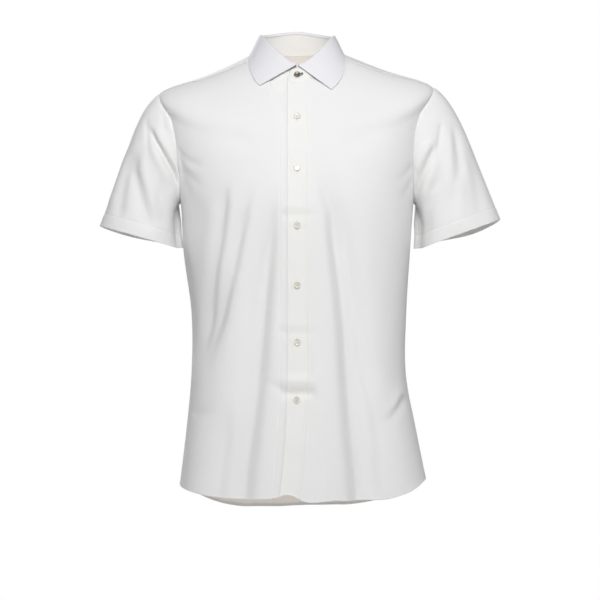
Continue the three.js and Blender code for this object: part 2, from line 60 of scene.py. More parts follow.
world = bpy.data.worlds.new("studio")
world.use_nodes = True
scene.world = world
room = world.node_tree
room.nodes.clear()
ray_kind = room.nodes.new("ShaderNodeLightPath")
which = room.nodes.new("ShaderNodeMixShader")
out = room.nodes.new("ShaderNodeOutputWorld")
room.links.new(ray_kind.outputs["Is Camera Ray"], which.inputs[0])
room.links.new(which.outputs[0], out.inputs["Surface"])
for way, colour, strength in ((1, (0.98, 0.99, 1.0, 1), 0.17), (2, (1, 1, 1, 1), 1.0)):
    wall_light = room.nodes.new("ShaderNodeBackground")
    wall_light.inputs["Color"].default_value = colour
    wall_light.inputs["Strength"].default_value = strength
    room.links.new(wall_light.outputs[0], which.inputs[way])


def softbox(name, place, aim, size, watts):
    lamp = bpy.data.lights.new(name, "AREA")
    lamp.shape = "RECTANGLE"
    lamp.size, lamp.size_y = size
    lamp.energy = watts
    stand = bpy.data.objects.new(name, lamp)
    stand.location = place
    stand.rotation_euler = (Vector(aim) - Vector(place)).to_track_quat("-Z", "Y").to_euler()
    scene.collection.objects.link(stand)


softbox("front_box", (0.1, -2.6, 1.15), (0, 0, -0.1), (0.9, 0.9), 69)
softbox("left_box", (-2.6, -1.9, 0.6), (0, 0, -0.4), (0.8, 1.6), 10)
softbox("right_box", (2.7, -1.2, 0.4), (0, 0, -0.4), (0.8, 1.6), 11)
softbox("rear_box", (-1.0, 2.6, 1.2), (0, 0, -0.25), (0.9, 0.9), 62)

bpy.ops.object.select_all(action="DESELECT")
bpy.ops.mesh.primitive_circle_add(vertices=96, radius=FLOOR_RADIUS, fill_type="NGON", location=(0, 0, 0))
floor = bpy.context.object
floor.name = "floor"
floor.data.transform(Matrix.Translation((0, 0, FLOOR_LEVEL)))
floor_paint = bpy.data.materials.new("floor_paint")
floor_paint.use_nodes = True
floor_shader = floor_paint.node_tree.nodes["Principled BSDF"]
floor_shader.inputs["Base Color"].default_value = (0.82, 0.82, 0.81, 1)
floor_shader.inputs["Roughness"].default_value = 0.7
floor.data.materials.append(floor_paint)

# Two fronts: fine white cotton shirting, cut in one with the front shoulders, with hems turned up and
# stitched. The left front laps over the right one, whose button stand lies below the placket. Their shape is
# the solids' run of rings round the body, with softer and finer folds worked in.

MM = 0.001
CLOTH = 0.6
NO_STITCH = 99.0
RING_COLUMNS = "z_right z_left right left front back dip_front dip_back square scoop shift lift".split()
RINGS = np.array([
    (-731, -721, 199, 218, 127, 114, 18, 52, 2.3, 4, -13, 7),
    (-640, -637, 188, 201, 125, 110, 12, 34, 2.3, 3.6, -4, 0),
    (-540, -540, 179, 183.5, 121, 100, 7, 18, 2.3, 3.2, 0, 0),
    (-440, -440, 179, 184.5, 121, 93, 3, 8, 2.3, 3, 0, 0),
    (-340, -340, 192, 190.5, 126, 98, 1, 2, 2.3, 3, 0, 0),
    (-252, -252, 198, 197, 129, 106, 4, 0, 2.35, 3, 0, 0),
    (-160, -156, 216, 209, 121, 109, 34, 2, 2.35, 3.4, 0, 0),
    (-106, -98, 226, 219, 113, 104, 52, 2, 2.3, 3.6, 0, 0),
    (-67, -57, 232, 229, 106, 93, 60, 4, 2.25, 3.4, 0, 0),
    (-34, -28, 147, 147, 94, 74, 60, -4, 2.15, 2.4, 0, 0),
    (5, 5, 64, 64, 79, 51, 62, 2, 2, 1.9, 0, 0),
])
UNDERARM, YOKE_SEAM, SHOULDER_TIP, NECK = 5, 7, 8, 10
ARMHOLE_MIDDLE = (SHOULDER_TIP + UNDERARM) / 2
ARMHOLE_HALF = SHOULDER_TIP - ARMHOLE_MIDDLE
ARMHOLE_FRONT, ARMHOLE_BACK = 24, 27
SCOOP_EASE = 0.12
LIFT_WIDTH = 22
WEAVE, STITCH = 0.00042, 0.0026
PLACKET_HALF = 16
HEM_DEPTH, HEM_REACH = 7, 86
FRONT_YOKE_ANGLE = 20
YOKE_AT_NECK = 64
NECK_SAG = 0.6
FRONT_RING = 91
FRONT_COLUMNS = 74
EDGE_TUCK = 0.02

join = np.concatenate


def mix(a, b, f):
    return a + (b - a) * f


def ease(low, high, value):
    f = np.clip((value - low) / (high - low), 0, 1)
    return f * f * (3 - 2 * f)


def dome(value, width):
    return np.exp(-((value / width) ** 2))


def ring_values(position):
    i = np.clip(np.floor(position).astype(int), 0, len(RINGS) - 2)
    f = (position - i)[..., None]
    a, b, c, d = (RINGS[np.clip(i + k, 0, len(RINGS) - 1)] for k in (-1, 0, 1, 2))
    rows = b + 0.5 * f * (c - a + f * (2 * a - 5 * b + 4 * c - d + f * (3 * (b - c) + d - a)))
    return dict(zip(RING_COLUMNS, np.moveaxis(rows, -1, 0)))


def point_on(ring, angle):
    sine, cosine = np.sin(np.radians(angle)), np.cos(np.radians(angle))
    power = 2 / ring["square"]
    across = np.sign(sine) * np.abs(sine) ** power
    along = np.abs(cosine) ** power
    half = np.where(sine < 0, ring["right"], ring["left"])
    scoop = ring["scoop"]
    rise = (np.hypot(across, SCOOP_EASE) ** scoop - SCOOP_EASE**scoop) / (
        np.hypot(1, SCOOP_EASE) ** scoop - SCOOP_EASE**scoop
    )
    ahead = cosine > 0
    level = (ring["z_right"] + ring["z_left"]) / 2 + (ring["z_left"] - ring["z_right"]) / 2 * across
    drop = np.where(ahead, ring["dip_front"], ring["dip_back"]) * (1 - rise)
    lift = np.where(ahead, ring["lift"] * dome(half * across, LIFT_WIDTH), 0)
    x = half * across + np.where(ahead, ring["shift"] * (1 - np.abs(across)), 0)
    y = np.where(ahead, -ring["front"], ring["back"]) * along
    return np.stack(np.broadcast_arrays(x, y, level - drop + lift), -1)


def body_point(angle, ring):
    angle, ring = np.broadcast_arrays(np.asarray(angle, float), np.asarray(ring, float))
    return point_on(ring_values(ring), angle)


def angle_across(ring, distance):
    values = ring_values(np.asarray(ring, float))
    half = np.where(np.asarray(distance) < 0, values["right"], values["left"])
    across = np.abs(distance) / (half - np.sign(distance) * values["shift"])
    return np.sign(distance) * np.degrees(np.arcsin(across ** (values["square"] / 2)))


def unit(vectors):
    return vectors / np.maximum(np.linalg.norm(vectors, axis=-1, keepdims=True), 1e-9)


def body_normal(angle, ring):
    around = body_point(angle + 0.4, ring) - body_point(angle - 0.4, ring)
    up = body_point(angle, np.minimum(ring + 0.02, NECK)) - body_point(angle, np.maximum(ring - 0.02, 0))
    return unit(np.cross(around, up))


def armhole(side, turn):
    sine = np.sin(np.radians(turn))
    reach = np.where(sine > 0, ARMHOLE_FRONT, ARMHOLE_BACK)
    return side * (90 - reach * sine), ARMHOLE_MIDDLE + ARMHOLE_HALF * np.cos(np.radians(turn))


# How far points are from a fold's line, and how far along it their nearest place is. The distance is negative
# on the side away from the centre front or back, x = 0.
def beside(line, x, z):
    line = np.array(line, float)
    nearest = np.full(x.shape, 1e9)
    place = np.zeros(x.shape)
    for k in range(len(line) - 1):
        a, b = line[k], line[k + 1]
        run = b - a
        f = np.clip(((x - a[0]) * run[0] + (z - a[1]) * run[1]) / (run @ run), 0, 1)
        away = np.hypot(x - a[0] - f * run[0], z - a[1] - f * run[1])
        closer = away < np.abs(nearest)
        outer = np.abs(x) > np.abs(a[0] + f * run[0])
        nearest = np.where(closer, np.where(outer, -away, away), nearest)
        place = np.where(closer, (k + f) / (len(line) - 1), place)
    return nearest, place


# A fold is a line of places (x, z), its widths at both ends, its height, the shares of the line over which it
# starts and ends, and how many times wider its outer slope is than its inner one.
def fold_rise(folds, x, z):
    rise = np.zeros(x.shape)
    for line, width_from, width_to, height, start, end, *lean in folds:
        away, place = beside(line, x, z)
        width = mix(width_from, width_to, place) * np.where(away < 0, lean[0] if lean else 1, 1)
        rise += height * dome(away, width) * ease(-0.001, start, place) * (1 - ease(1 - end, 1.001, place))
    return rise


FRONT_FOLDS = [
    ([(-117, -215), (-122, -262), (-130, -318), (-140, -368), (-150, -423), (-158, -484), (-163, -540)],
     8, 11, -8, 0.2, 0.3, 2.2),
    ([(-74, -216), (-87, -270), (-97, -312), (-107, -363), (-117, -398), (-130, -446), (-147, -500),
      (-160, -560)], 8.5, 13, -10.5, 0.25, 0.3, 2.6),
    ([(-39, -210), (-42, -270), (-45, -320), (-51, -370), (-57, -425), (-62, -480), (-69, -561),
      (-77, -620), (-87, -690), (-101, -850)], 8, 18, -15.5, 0.35, 0.01, 2.4),
    ([(24, -175), (42, -225), (58, -274), (64, -320), (70, -363), (76, -408), (82, -458), (86, -520),
      (93, -620), (103, -712), (115, -850)], 8.5, 18, -18.5, 0.33, 0.01, 2.2),
    ([(-94, -225), (-108, -300), (-122, -380), (-136, -460)], 26, 24, 4.5, 0.3, 0.4),
    ([(-160, -225), (-168, -300), (-178, -380), (-184, -470)], 22, 20, -6, 0.3, 0.4),
    ([(79, -270), (84, -320), (92, -383), (101, -440), (108, -502), (121, -570), (131, -606), (150, -680)],
     4.5, 6, -3.6, 0.3, 0.4, 2.5),
    ([(128, -560), (136, -620), (146, -700), (160, -840)], 12, 15, -6, 0.4, 0.01, 2.2),
    ([(-118, -570), (-124, -640), (-134, -720), (-144, -850)], 12, 15, -6, 0.4, 0.01, 2.2),
    ([(20, -470), (34, -560), (44, -640), (50, -850)], 12, 15, 2.6, 0.4, 0.01),
    ([(186, -572), (170, -600), (146, -632)], 8, 9, -4, 0.3, 0.6),
    ([(178, -560), (164, -590), (140, -618)], 8, 9, 2.6, 0.3, 0.6),
    ([(-180, -612), (-160, -606), (-128, -602)], 8, 10, -2.2, 0.3, 0.6),
    ([(-204, -164), (-186, -184), (-162, -196), (-130, -204)], 5, 9, -2.6, 0.1, 0.7),
    ([(-202, -178), (-189, -204), (-166, -226), (-128, -242)], 5, 11, -3, 0.1, 0.7),
    ([(-199, -200), (-184, -232), (-170, -275)], 6, 10, -2.5, 0.1, 0.7),
    ([(198, -190), (178, -213), (150, -232)], 5, 10, -2.6, 0.1, 0.7),
    ([(196, -212), (182, -240), (160, -268)], 5, 10, -2.4, 0.1, 0.7),
    ([(-191, -70), (-190, -104)], 6, 6, 1.4, 0.2, 0.5),
    ([(-150, -118), (-96, -150), (-52, -190)], 16, 20, -1.6, 0.4, 0.5),
    ([(152, -112), (104, -150), (56, -192)], 16, 20, -1.6, 0.4, 0.5),
    ([(-22, -566), (-40, -558), (-64, -556)], 6, 10, -2.2, 0.1, 0.7),
    ([(19, -566), (30, -580), (36, -606)], 5, 8, -2, 0.1, 0.7),
    ([(-20, -470), (-36, -466)], 5, 7, -1.2, 0.1, 0.7),
]


# Cloth is never quite even: long soft waves, the longest the highest, that follow no pattern.
WAVE_LENGTHS = (230, 160, 110, 76, 52, 36)


def slack(points, seed=3):
    waves = np.random.default_rng(seed)
    rise = np.zeros(points.shape[:-1])
    for length in WAVE_LENGTHS:
        heading = waves.normal(size=3)
        heading *= np.array((1.4, 0.8, 0.55)) / np.linalg.norm(heading)
        bend = waves.normal(size=3) / 210
        wander = 1.6 * np.sin(points @ bend * 2 + waves.uniform(0, 6))
        phase = points @ (heading * 2 * math.pi / length) + wander
        rise += length / WAVE_LENGTHS[0] * np.sin(phase + waves.uniform(0, 6))
    return 0.55 * rise


# The placket buckles where its last button draws the front up. Each row is a trough or a ridge: its rise, its
# level and its width.
BUCKLES = [
    (-4.6, -572, 7.5), (3.6, -551, 9), (-1.3, -472, 8), (0.9, -458, 9),
    (-1.3, -279, 8), (0.9, -266, 8), (-0.7, -372, 10), (1.2, -652, 18),
]


def buckle(x, z):
    centre = np.where(z < -600, -13 * ease(-600, -740, z), 0)
    near = 1 - ease(PLACKET_HALF - 2, PLACKET_HALF + 22, np.abs(x - centre))
    return near * sum(rise * dome(z - level, width) for rise, level, width in BUCKLES)


def body_fold(angle, ring, points):
    x, z = points[..., 0], points[..., 2]
    cosine = np.cos(np.radians(angle))
    ahead = cosine > 0
    reach = np.where(ahead, ARMHOLE_FRONT, ARMHOLE_BACK)
    from_side = np.abs((angle + 180) % 360 - 180)
    oval = np.hypot((ring - ARMHOLE_MIDDLE) / ARMHOLE_HALF, (from_side - 90) / reach)
    calm = ease(0, 0.2, np.abs(cosine)) * ease(1.0, 1.16, oval)
    hush = calm * (1 - 0.75 * ease(6.6, SHOULDER_TIP, ring)) * (1 - ease(8.6, 9.4, ring))
    folds = np.where(ahead, fold_rise(FRONT_FOLDS, x, z), fold_rise(BACK_FOLDS, x, z))
    from_centre = np.abs(x - ring_values(ring)["shift"])
    open_cloth = np.where(ahead, ease(PLACKET_HALF + 1, PLACKET_HALF + 14, from_centre), 1)
    loose = 0.8 * calm * open_cloth * (1 - 0.8 * ease(8.4, 9.1, ring)) * slack(points)
    return hush * open_cloth * folds + loose + np.where(ahead, buckle(x, z), 0)


BACK_FOLDS = [
    ([(-62, -240), (-58, -400), (-66, -540), (-84, -660), (-108, -880)], 11, 17, -8.5, 0.35, 0.01, 2.2),
    ([(44, -220), (52, -380), (66, -540), (80, -660), (98, -880)], 11, 17, -9, 0.35, 0.01, 2.2),
    ([(-112, -250), (-124, -380), (-138, -500), (-150, -600)], 9, 12, -6.5, 0.3, 0.4, 2.6),
    ([(106, -260), (120, -400), (136, -530), (150, -660), (160, -880)], 9, 15, -6, 0.35, 0.01, 2.4),
    ([(-20, -420), (-26, -600), (-34, -880)], 12, 17, -4.5, 0.5, 0.01, 1.6),
    ([(12, -380), (16, -560), (22, -880)], 13, 18, 4, 0.5, 0.01),
    ([(-128, -600), (-138, -700), (-148, -880)], 12, 16, -5, 0.4, 0.01, 2.0),
    ([(-190, -170), (-160, -200), (-110, -226)], 8, 16, -3.4, 0.1, 0.7),
    ([(188, -164), (158, -196), (112, -218)], 8, 16, -3.4, 0.1, 0.7),
    ([(-186, -205), (-168, -236), (-140, -280)], 7, 12, -3, 0.1, 0.7),
    ([(186, -200), (168, -232), (144, -270)], 7, 12, -3, 0.1, 0.7),
    ([(-150, -470), (-60, -486), (30, -478), (140, -466)], 15, 15, -2.6, 0.3, 0.4),
    ([(-130, -508), (-40, -520), (60, -512)], 15, 15, 1.8, 0.4, 0.5),
]


# A hem's path from inside, round its fold and out: how far each row is from the edge, how far in, and how far
# from the stitches.
def hem_path(depth, end, step, radius=0.45):
    turn = math.pi * radius
    inner = [-turn - depth, *np.linspace(-turn - depth + 1, -turn - 1, max(3, int(depth / 4)))]
    bent = list(np.linspace(-turn, 0, 5))
    near = [0.7, 1.6, 3, *np.arange(4.5, depth - 1.6, 3)]
    stitch = [depth - 1.5, depth - 1, depth - 0.5, depth, depth + 0.7, depth + 1.6, depth + 3]
    run = np.array([*inner, *bent, *near, *stitch, *np.arange(depth + 5.5, end, step), end])
    bend = np.clip(-run / radius, 0, math.pi)
    away = np.where(run > 0, run, np.where(run > -turn, -radius * np.sin(bend), -(run + turn)))
    inward = np.where(run > 0, 0, radius * (1 - np.cos(bend)))
    groove = 0.32 * dome(run - depth + 1, 0.75) - 0.28 * (run > 0) * (1 - ease(depth - 1, depth + 1.4, run))
    return away, inward + groove, run - depth + 1


# How far along its row or column each point of a grid lies.
def run_along(points, axis):
    steps = np.linalg.norm(np.diff(points, axis=axis), axis=-1)
    return join([np.zeros_like(steps.take([0], axis)), np.cumsum(steps, axis)], axis)


# A grid of cloth: its points are set, its surface is given a thickness, its map is in metres along the cloth,
# and each point knows how many millimetres it is from a row of stitches.
def sew(name, points, cloths, stitch=NO_STITCH, thickness=CLOTH, closed=False, flip=False):
    rows, columns = points.shape[:2]
    bpy.ops.object.select_all(action="DESELECT")
    bpy.ops.mesh.primitive_grid_add(x_subdivisions=columns - 1, y_subdivisions=rows - 1, size=1)
    piece = bpy.context.object
    piece.name = piece.data.name = name
    mesh = piece.data
    mesh.vertices.foreach_set("co", (points * MM).astype(np.float32).ravel())
    across = run_along(points, 1)
    across = across - across[:, columns // 2 : columns // 2 + 1]
    flat = np.stack([across, run_along(points, 0)], -1).reshape(-1, 2) * MM
    corners = np.empty(len(mesh.loops), int)
    mesh.loops.foreach_get("vertex_index", corners)
    mesh.uv_layers[0].data.foreach_set("uv", flat[corners].astype(np.float32).ravel())
    near = np.broadcast_to(stitch, (rows, columns)).astype(np.float32)
    mesh.attributes.new("stitch", "FLOAT", "POINT").data.foreach_set("value", near.ravel())
    for cloth in cloths:
        mesh.materials.append(cloth)
    mesh.update()
    bpy.ops.object.mode_set(mode="EDIT")
    bpy.ops.mesh.select_all(action="SELECT")
    if closed:
        bpy.ops.mesh.remove_doubles(threshold=0.00002)
    if flip:
        bpy.ops.mesh.flip_normals()
    bpy.ops.object.mode_set(mode="OBJECT")
    wall = piece.modifiers.new("wall", "SOLIDIFY")
    wall.thickness = thickness * MM
    wall.offset = 0
    wall.use_even_offset = False
    wall.material_offset = len(cloths) - 1
    bpy.ops.object.modifier_apply(modifier="wall")
    bpy.ops.object.shade_smooth_by_angle(angle=math.radians(50))
    return piece


# Wraps a shader's sockets, so that a pattern is written as a sum.
class Strand:
    def __init__(self, tree, socket):
        self.tree = tree
        self.socket = socket

    def node(self, kind, settings=(), **values):
        made = self.tree.nodes.new(kind)
        for key, value in dict(settings).items():
            if key == "stops":
                ramp = made.color_ramp.elements
                for k, (place, shade) in enumerate(value):
                    stop = ramp[k] if k < 2 else ramp.new(place)
                    stop.position = place
                    stop.color = (*shade, 1)
            else:
                setattr(made, key, value)
        for key, value in values.items():
            numbered = key[0] == "n" and key[1:].isdigit()
            socket = made.inputs[int(key[1:]) if numbered else key]
            if isinstance(value, Strand):
                self.tree.links.new(value.socket, socket)
            else:
                socket.default_value = value
        return Strand(self.tree, made.outputs[0])

    def feed(self, shader, name):
        self.tree.links.new(self.socket, shader.inputs[name])

    def maths(self, operation, *values):
        numbered = {f"n{k}": value for k, value in enumerate(values)}
        return self.node("ShaderNodeMath", {"operation": operation}, **numbered)

    def __add__(self, other):
        return self.maths("ADD", self, other)

    def __sub__(self, other):
        return self.maths("SUBTRACT", self, other)

    def __mul__(self, other):
        return self.maths("MULTIPLY", self, other)

    def __rsub__(self, other):
        return self.maths("SUBTRACT", other, self)

    __radd__ = __add__
    __rmul__ = __mul__


def shader_of(name):
    material = bpy.data.materials.new(name)
    material.use_nodes = True
    tree = material.node_tree
    return material, tree, tree.nodes["Principled BSDF"]


# Cotton: a plain weave of fine threads, a few thicker than the rest, with a faint cloudiness in its white, and
# with the threads of its seams lying along the rows of stitches. The gaps between the stitches are darkened:
# painted shade.
def cotton(name, tone, shade, rough=0.78, painted_glow=0.0):
    material, tree, shader = shader_of(name)
    mapped = tree.nodes.new("ShaderNodeUVMap")
    mapped.uv_map = "UVMap"
    place = Strand(tree, mapped.outputs["UV"])
    axes = place.node("ShaderNodeSeparateXYZ", n0=place).socket.node.outputs
    across, along = Strand(tree, axes[0]), Strand(tree, axes[1])
    weave = (across * (math.tau / WEAVE)).maths("SINE") * (along * (math.tau / WEAVE)).maths("SINE")
    uneven = place.node("ShaderNodeTexNoise", Vector=place, Scale=1400.0, Detail=2.0, Roughness=0.6)
    drawn = place.node("ShaderNodeMapping", Vector=place, Scale=(60.0, 900.0, 1.0))
    slub = place.node("ShaderNodeTexNoise", Vector=drawn, Scale=1.0, Detail=2.0, Roughness=0.5)
    cloud = place.node("ShaderNodeTexNoise", Vector=place, Scale=9.0, Detail=3.0, Roughness=0.55)
    distance = tree.nodes.new("ShaderNodeAttribute")
    distance.attribute_name = "stitch"
    line = (1 - Strand(tree, distance.outputs["Fac"]).maths("ABSOLUTE") * 2.2).maths("MAXIMUM", 0.0)
    thread = ((across + along) * (math.tau / STITCH)).maths("SINE").maths("GREATER_THAN", -0.55)
    height = weave * 0.5 + uneven * 0.7 + slub * 0.8 + line * thread * 2.4
    # Painted shade: the colour is darkened in the gaps between the stitches along each seam.
    tint_with_stitch_shade = cloud * 0.55 + uneven * 0.2 + slub * 0.25 - line * (1 - thread) * 0.6
    stops = [(0.3, shade), (0.72, tone)]
    tint_with_stitch_shade.node("ShaderNodeValToRGB", {"stops": stops}, n0=tint_with_stitch_shade).feed(shader, "Base Color")
    (uneven * 0.14 + (rough - 0.07)).feed(shader, "Roughness")
    height.node("ShaderNodeBump", Strength=0.45, Distance=0.00006, Height=height).feed(shader, "Normal")
    shader.inputs["Sheen Weight"].default_value = 0.12
    shader.inputs["Sheen Roughness"].default_value = 0.45
    shader.inputs["Specular IOR Level"].default_value = 0.28
    # A faint warm glow of the given strength: painted light, for light coming through the cloth. It is zero
    # unless asked for.
    shader.inputs["Emission Color"].default_value = (1.0, 0.91, 0.82, 1)
    shader.inputs["Emission Strength"].default_value = painted_glow
    return material


# Shirting's outside and inside. The inside is tinted a warmer white and glows faintly and warm: painted light,
# standing in for the light that comes through thin white cloth.
shirting = (
    cotton("white_shirting", (0.8, 0.8, 0.796), (0.76, 0.76, 0.757)),
    cotton("white_shirting_inside", (0.8, 0.78, 0.75), (0.76, 0.74, 0.715), painted_glow=0.15),
)


# A front's outer edge runs up its side seam (s from 0 to 1), its armhole (to 2) and its yoke seam (to 3).
def front_edge(side, s):
    seam, arm, top = (np.clip(s - k, 0, 1) for k in range(3))
    arm_angle, arm_ring = armhole(side, mix(180, FRONT_YOKE_ANGLE, arm))
    seam_angle, seam_ring = armhole(side, FRONT_YOKE_ANGLE)

    def stretches(at_side, at_arm, at_yoke):
        return np.where(s <= 1, at_side, np.where(s <= 2, at_arm, at_yoke))

    angle = stretches(side * 90.0, arm_angle, mix(seam_angle, side * YOKE_AT_NECK, top))
    ring = stretches(UNDERARM * seam, arm_ring, mix(seam_ring, NECK, top))
    centre = stretches(UNDERARM * seam, mix(UNDERARM, SHOULDER_TIP, arm), mix(SHOULDER_TIP, NECK, top))
    return angle, ring, centre


def neck_sag(x):
    return NECK_SAG * ease(-56, -16, x)


# Puts a place on the body as cloth: folded, and moved out by what is asked.
def lay(angle, ring, moved):
    base = body_point(angle, ring)
    normal = body_normal(angle, ring)
    return base + normal * (body_fold(angle, ring, base) + moved)[..., None]


# The left front and its placket hang lower than the right front below the last button, and unevenly.
LEFT_HANG, SIDE_HANG, MIDDLE_RISE = 8, 4, 3


def hang(points, angle, ring):
    x = points[..., 0]
    drop = LEFT_HANG * ease(-20, 18, x) + SIDE_HANG * dome(x - 150, 28) - MIDDLE_RISE * dome(x - 60, 22)
    points[..., 2] -= drop * (1 - ease(56, 80, angle)) * (1 - ease(0, 0.9, ring))
    return points


# A piece's rows from its hem up, with each stretch above it as (from, to, rows): their places, how far in they
# lie, and how far they are from the hem's stitches.
def rows_from_hem(ring_mm, *stretches):
    away, inward, stitch = hem_path(HEM_DEPTH, HEM_REACH, 3)
    above = join([np.linspace(*stretch)[1:] for stretch in stretches])
    place = np.append(away / ring_mm, above)
    return place, np.append(inward, 0 * above), np.append(stitch, np.full(len(above), NO_STITCH))


# A front, from the given distances off its middle to its outer edge, which is tucked under back and yoke.
def front_cloth(side, distances):
    s, inward, stitch = rows_from_hem(FRONT_RING * UNDERARM, (0.19, 1, 122), (1, 2, 62), (2, 3, 40))
    edge_angle, edge_ring, centre = front_edge(side, np.maximum(s, 0))
    edge_ring = np.where(s < 0, s * UNDERARM, edge_ring)
    centre = np.where(s < 0, s * UNDERARM, centre)
    start = np.stack([angle_across(centre, d) for d in distances])
    tucked = EDGE_TUCK * (1 - ease(0.96, 1.02, s) * (1 - ease(1.97, 2.03, s)))
    f = join([np.linspace(0, 0.97, FRONT_COLUMNS), (0.985, 0.992, 1.0, 1.01)])[None, :]
    reach = f * (1 + tucked[:, None])
    angle = mix(start[-1][:, None], edge_angle[:, None], reach)
    ring = mix(centre[:, None], edge_ring[:, None], reach**2)
    given = len(distances) - 1
    angle = join([start[:-1].T, angle], 1)
    ring = join([np.repeat(centre[:, None], given, 1), ring], 1)
    reach = join([np.zeros((len(s), given)), reach], 1)
    ring = np.clip(ring, -0.4, NECK + 0.05)
    moved = -inward[:, None] - 0.9 * ease(0.995, 1.006, reach)
    return angle, ring, moved, stitch[:, None]


STAND_STITCH = 28
button_stand = [15, 10, 5, 0, -5, -10, -13, -16, -19, -22, -25, -26.5, -27.3, -28, -28.7, -29.5, -31, -34]
angle, ring, moved, stitch = front_cloth(-1, button_stand)
x = body_point(angle, ring)[..., 0]
ring = ring - neck_sag(x) * ease(SHOULDER_TIP, NECK, ring)
moved = moved - 1.6 * ease(-36, -19, x - ring_values(np.clip(ring, 0, NECK))["shift"])
from_stitch = np.full(angle.shape[1], NO_STITCH)
from_stitch[: len(button_stand)] = np.array(button_stand) + STAND_STITCH
sewn = 1 - ease(7.3, SHOULDER_TIP, ring)
moved = moved - 0.35 * dome(from_stitch, 0.9)[None, :] * sewn
moved = moved + 0.3 * (1 - ease(-2.5, 0.5, -from_stitch))[None, :] * (from_stitch < NO_STITCH) * sewn
stitch = np.minimum(np.abs(stitch), np.abs(from_stitch)[None, :] + NO_STITCH * (1 - sewn))
front_right = sew("front_right_cloth", lay(angle, ring, moved), shirting, stitch, flip=True)
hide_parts("front_right")
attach(front_right, "root")

angle, ring, moved, stitch = front_cloth(1, [9, 12, 14.5, 16])
x = body_point(angle, ring)[..., 0]
from_centre = x - ring_values(np.clip(ring, 0, NECK))["shift"]
moved = moved - 1.1 * (1 - ease(PLACKET_HALF - 3, PLACKET_HALF + 0.5, from_centre))
points = hang(lay(angle, ring, moved), angle, ring)
front_left = sew("front_left_cloth", points, shirting, stitch)
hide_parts("front_left")
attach(front_left, "root")

# Placket: a band of doubled and stiffened cloth down the edge of the left front, with both edges turned under
# and topstitched 5 mm in. Below the last button its end swings to the wearer's right, and above it it buckles.

BAND_STITCH = 5
BAND_RING = 93
BAND_LIFT = 0.7
warm_band = cotton("placket_cloth", (0.82, 0.815, 0.797), (0.78, 0.775, 0.757), rough=0.74)

edge_away, edge_in, edge_stitch = hem_path(BAND_STITCH, PLACKET_HALF, 2.4, radius=0.5)
half_band = edge_away[:-1] - PLACKET_HALF
distances = join([half_band, [0], -half_band[::-1]])
edge_in = join([edge_in[:-1], [0], edge_in[:-1][::-1]])
edge_stitch = join([edge_stitch[:-1], [NO_STITCH], edge_stitch[:-1][::-1]])
centre, inward, hem_stitch = rows_from_hem(BAND_RING, (0.95, UNDERARM, 120), (UNDERARM, NECK + 0.02, 100))
ring = np.repeat(centre[:, None], len(distances), 1)
angle = angle_across(ring, distances[None, :])
moved = BAND_LIFT - inward[:, None] - edge_in[None, :]
stitch = np.minimum(np.abs(edge_stitch)[None, :], np.abs(hem_stitch)[:, None])
placket = sew("placket_band", hang(lay(angle, ring, moved), angle, ring), (warm_band,), stitch)
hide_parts("placket")
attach(placket, "root")

# Back: one piece of shirting from side seam to side seam, felled over the fronts' edges and sewn below the
# yoke. Its tail is longer than the fronts. Soft folds fall from the shoulder blades.

BACK_RING = 96
BACK_WIDTH = 480
FELL_STITCH = 0.012
BACK_YOKE_TURN = 360 - math.degrees(math.acos((YOKE_SEAM - ARMHOLE_MIDDLE) / ARMHOLE_HALF))

r, inward, hem_stitch = rows_from_hem(
    BACK_RING, (0.9, UNDERARM, 124), (UNDERARM, YOKE_SEAM, 52), (YOKE_SEAM, YOKE_SEAM + 0.03, 3)
)
r, inward, hem_stitch = r[:, None], inward[:, None], hem_stitch[:, None]
arm = np.clip((r - UNDERARM) / (YOKE_SEAM - UNDERARM), 0, 1.02)
arm_angle, arm_ring = armhole(1, mix(180, BACK_YOKE_TURN, arm))
edge_angle = np.where(r <= UNDERARM, 90, arm_angle)
edge_ring = np.where(r <= UNDERARM, r, arm_ring)
f = join([[0, 0.003, 0.008, 0.014], np.linspace(0.024, 0.976, 150), [0.986, 0.992, 0.997, 1]])
from_seam = np.minimum(f, 1 - f)
angle = mix(edge_angle, 360 - edge_angle, f)
hold = np.abs((angle - 180) / (edge_angle - 180)) ** 3
ring = mix(r, edge_ring, hold)
side_edge = dome(from_seam, 0.011) * (1 - ease(4.6, UNDERARM, r))
felled = 0.6 * side_edge - 0.25 * dome(from_seam - FELL_STITCH, 0.003) * (r < UNDERARM)
moved = felled - inward - ease(YOKE_SEAM - 0.015, YOKE_SEAM + 0.01, r)
fell_stitch = (from_seam - FELL_STITCH) * BACK_WIDTH + NO_STITCH * ease(4.9, UNDERARM, r)
stitch = np.minimum(np.abs(hem_stitch), np.abs(fell_stitch))
back = sew("back_cloth", lay(angle, ring, moved), shirting, stitch)
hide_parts("back")
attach(back, "root")

# Yoke: two layers of shirting over both shoulders, cut as one piece. It is laid on the back and on both fronts,
# and its turned edges are topstitched to them.

SHOULDER_TOP, YOKE_FRONT, YOKE_END = 5, 7, 12
YOKE_WIDTH, YOKE_ROW = 420, 6.5
BACK_STITCH, FRONT_STITCH = 0.26, 0.005

